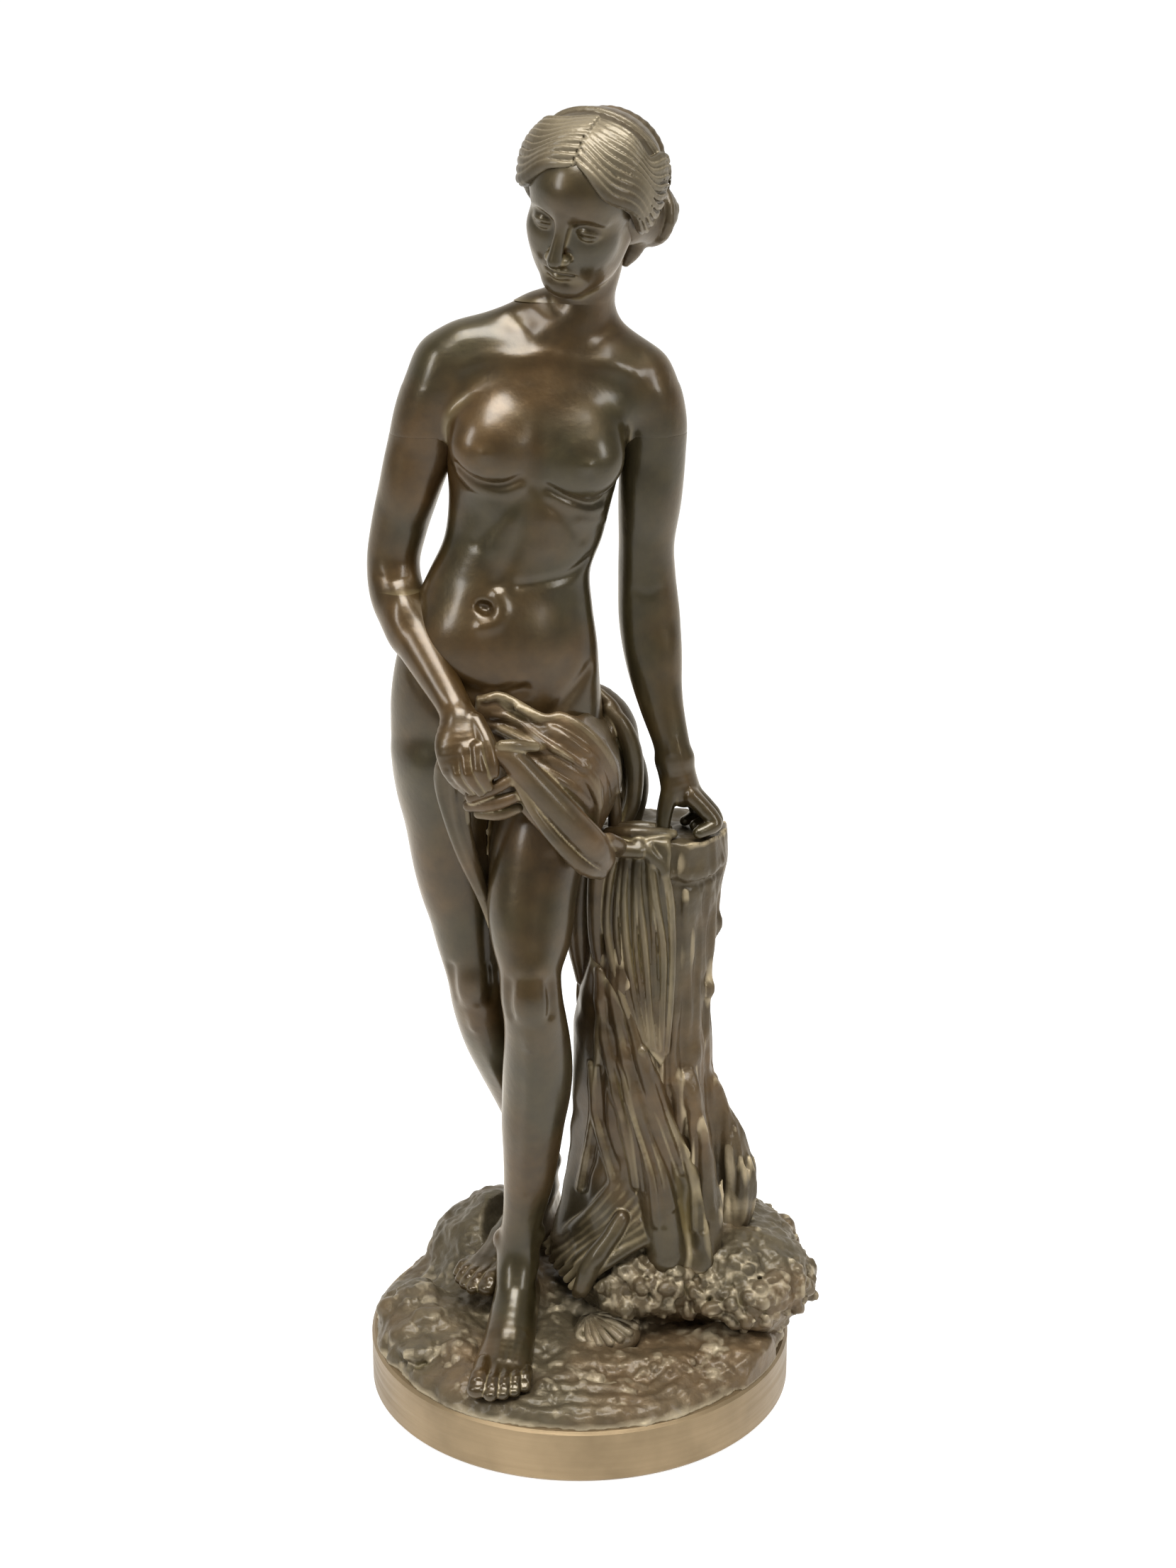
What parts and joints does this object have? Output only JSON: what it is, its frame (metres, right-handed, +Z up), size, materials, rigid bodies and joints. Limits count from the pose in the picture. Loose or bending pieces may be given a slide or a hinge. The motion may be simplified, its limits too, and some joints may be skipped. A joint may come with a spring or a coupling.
{
  "type": "bronze statuette",
  "caption": "Cast bronze statuette of a standing bather who rests one hand on a draped tree stump, on a rocky terrace held in a turned brass ring base.",
  "frame": {"origin": "centre of the base ring's resting face", "axes": "+Z up, -Y towards the figure's front, +X towards the stump, on the figure's left"},
  "size_m": [0.158, 0.152, 0.45],
  "materials": {
    "skin_bronze": "glossy dark brown lacquered bronze patina, worn warmer on edges",
    "drapery_bronze": "satin brown bronze patina with pale dust in the folds",
    "bark_bronze": "satin brown bronze patina with bark grooves",
    "rock_bronze": "rough grey-brown bronze patina with worn bright high spots",
    "ring_brass": "dull turned brass, lightly scratched",
    "pin_bronze": "filed flush and patinated",
    "screw_brass": "old brass",
    "steel_fixings": "dull plain steel"
  },
  "bodies": {
    "root": {"base_ring": "ring_brass", "boulder": "rock_bronze", "foot_nuts": "steel_fixings", "foot_washers": "steel_fixings", "head": "skin_bronze", "hip_bundle": "drapery_bronze", "hip_drapery": "drapery_bronze", "joint_pins": "pin_bronze", "left_foot": "skin_bronze", "left_foot_stud": "steel_fixings", "left_forearm": "skin_bronze", "left_leg": "skin_bronze", "left_upper_arm": "skin_bronze", "right_foot": "skin_bronze", "right_foot_stud": "steel_fixings", "right_forearm": "skin_bronze", "right_leg": "skin_bronze", "right_upper_arm": "skin_bronze", "ring_seat": "ring_brass", "rock_terrace": "rock_bronze", "scallop_rivet": "pin_bronze", "scallop_shell": "rock_bronze", "stump_drapery": "drapery_bronze", "stump_nut": "steel_fixings", "stump_rod": "steel_fixings", "stump_skirt": "drapery_bronze", "stump_washer": "steel_fixings", "terrace_screws": "screw_brass", "terrace_washers": "screw_brass", "thigh_drapery": "drapery_bronze", "torso": "skin_bronze", "tree_stump": "bark_bronze"}
  },
  "joints": []
}
